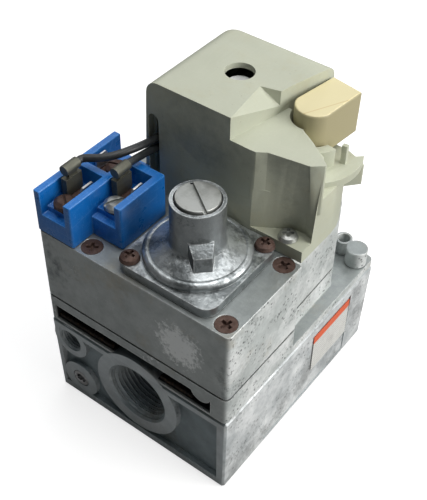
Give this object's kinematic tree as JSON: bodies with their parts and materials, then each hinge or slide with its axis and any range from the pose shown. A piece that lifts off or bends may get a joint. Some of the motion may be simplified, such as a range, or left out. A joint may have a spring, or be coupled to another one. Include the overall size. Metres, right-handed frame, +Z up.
{
  "type": "gas control valve",
  "caption": "Combination gas control valve: stacked die castings with threaded ports, regulator tower, blue terminal block and a moulded cover with a push-and-turn knob",
  "frame": {"origin": "centre of the flat underside of the base casting", "axes": "+X right along the outlet port face, +Y from the outlet port face to the inlet port face, +Z up"},
  "size_m": [0.0862, 0.1024, 0.1364],
  "materials": {
    "dark_cast": "dark oily aluminium die casting",
    "die_cast": "grey die casting, stained and scuffed",
    "gasket": "brown fibre sheet",
    "zinc": "dull plated metal",
    "steel": "bright steel",
    "rusty_steel": "rusted steel",
    "brass": "tarnished brass",
    "tinned_strip": "tin-plated strip, bright blades over a rusty foot",
    "tin": "dull tinned brass",
    "black_rubber": "black rubber",
    "diaphragm": "black coated fabric",
    "wire_rubber": "black wire insulation",
    "blue_plastic": "blue moulding, scuffed edges",
    "beige_plastic": "grey-green beige moulding",
    "tan_plastic": "yellowed cream moulding",
    "white_plastic": "white moulding",
    "copper": "enamelled copper winding",
    "label": "white printed film, left blank with an orange band"
  },
  "bodies": {
    "valve_body": {"base_casting": "dark_cast", "base_gasket": "gasket", "mid_casting": "die_cast", "upper_gasket": "gasket", "upper_body": "die_cast", "port_plug": "steel", "label_plate": "label", "main_diaphragm": "diaphragm", "main_valve_spring": "steel", "regulator_housing": "die_cast", "regulator_spring": "steel", "regulator_plate": "steel", "regulator_diaphragm": "diaphragm", "regulator_screw_1": "rusty_steel", "regulator_screw_2": "rusty_steel", "terminal_block": "blue_plastic", "cover": "beige_plastic", "cover_screw": "zinc", "knob_spring": "steel", "stem_bushing": "zinc", "safety_spring": "steel", "magnet_unit": "zinc", "inlet_tap": "die_cast", "outlet_tap": "die_cast", "pilot_fitting": "steel", "coil_bobbin": "white_plastic", "coil_winding": "copper", "coil_frame": "zinc", "core_tube": "zinc", "core_stop": "steel", "plunger_spring": "steel", "body_screw_1": "rusty_steel", "body_screw_2": "rusty_steel", "body_screw_3": "rusty_steel", "body_screw_4": "rusty_steel", "body_screw_5": "rusty_steel", "terminal_plate_1": "tinned_strip", "terminal_screw_1": "rusty_steel", "terminal_plate_2": "tinned_strip", "terminal_screw_2": "zinc", "terminal_plate_3": "tinned_strip", "terminal_screw_3": "rusty_steel", "spade_1": "tin", "lead_1": "wire_rubber", "spade_2": "tin", "lead_2": "wire_rubber"},
    "cock": {"cock_plug": "brass"},
    "knob": {"knob_lever": "tan_plastic", "knob_stem": "steel"},
    "safety_valve": {"safety_poppet": "steel"},
    "solenoid_plunger": {"plunger": "steel"},
    "main_valve": {"main_valve_poppet": "steel", "main_valve_seal": "black_rubber", "diaphragm_plate": "steel"},
    "cap_carrier": {"cap_seal": "black_rubber"},
    "cap": {"regulator_cap": "zinc"},
    "adjuster_carrier": {"spring_button": "steel"},
    "adjuster": {"adjusting_screw": "white_plastic"}
  },
  "joints": [
    {"name": "knob_turn", "type": "hinge", "parent": "valve_body", "child": "cock", "pos_m": [0.0248, 0.0199, 0.07], "axis": [0, 0, 1], "range_deg": [-38, 0]},
    {"name": "knob_push", "type": "slide", "parent": "cock", "child": "knob", "axis": [0, 0, 1], "range_m": [-0.002, 0], "stiffness_N_per_m": 2500, "springref_m": 0.0015, "deforming": ["knob_spring"]},
    {"name": "safety_valve_lift", "type": "slide", "parent": "valve_body", "child": "safety_valve", "axis": [0, 0, 1], "range_m": [-0.002, 0], "deforming": ["safety_spring"]},
    {"name": "plunger_lift", "type": "slide", "parent": "valve_body", "child": "solenoid_plunger", "axis": [0, 0, 1], "range_m": [0, 0.003], "stiffness_N_per_m": 200, "springref_m": -0.004, "deforming": ["plunger_spring"]},
    {"name": "main_valve_lift", "type": "slide", "parent": "valve_body", "child": "main_valve", "axis": [0, 0, 1], "range_m": [0, 0.004], "stiffness_N_per_m": 300, "springref_m": -0.005, "deforming": ["main_valve_spring", "main_diaphragm"]},
    {"name": "cap_turn", "type": "hinge", "parent": "cap_carrier", "child": "cap", "pos_m": [0.0124, -0.0289, 0.117], "axis": [0, 0, 1], "range_deg": [0, 360]},
    {"name": "cap_lift", "type": "slide", "parent": "valve_body", "child": "cap_carrier", "axis": [0, 0, 1], "range_m": [0, 0.0012]},
    {"name": "adjuster_turn", "type": "hinge", "parent": "adjuster_carrier", "child": "adjuster", "pos_m": [0.0124, -0.0289, 0.106], "axis": [0, 0, 1], "range_deg": [0, 720]},
    {"name": "adjuster_travel", "type": "slide", "parent": "valve_body", "child": "adjuster_carrier", "axis": [0, 0, 1], "range_m": [0, 0.002], "deforming": ["regulator_spring"]}
  ],
  "couplings": [
    {"joint": "safety_valve_lift", "follows": "knob_push", "ratio": 1},
    {"joint": "cap_turn", "follows": "cap_lift", "rad_per_m": 5235.9},
    {"joint": "adjuster_turn", "follows": "adjuster_travel", "rad_per_m": 6283.1}
  ]
}
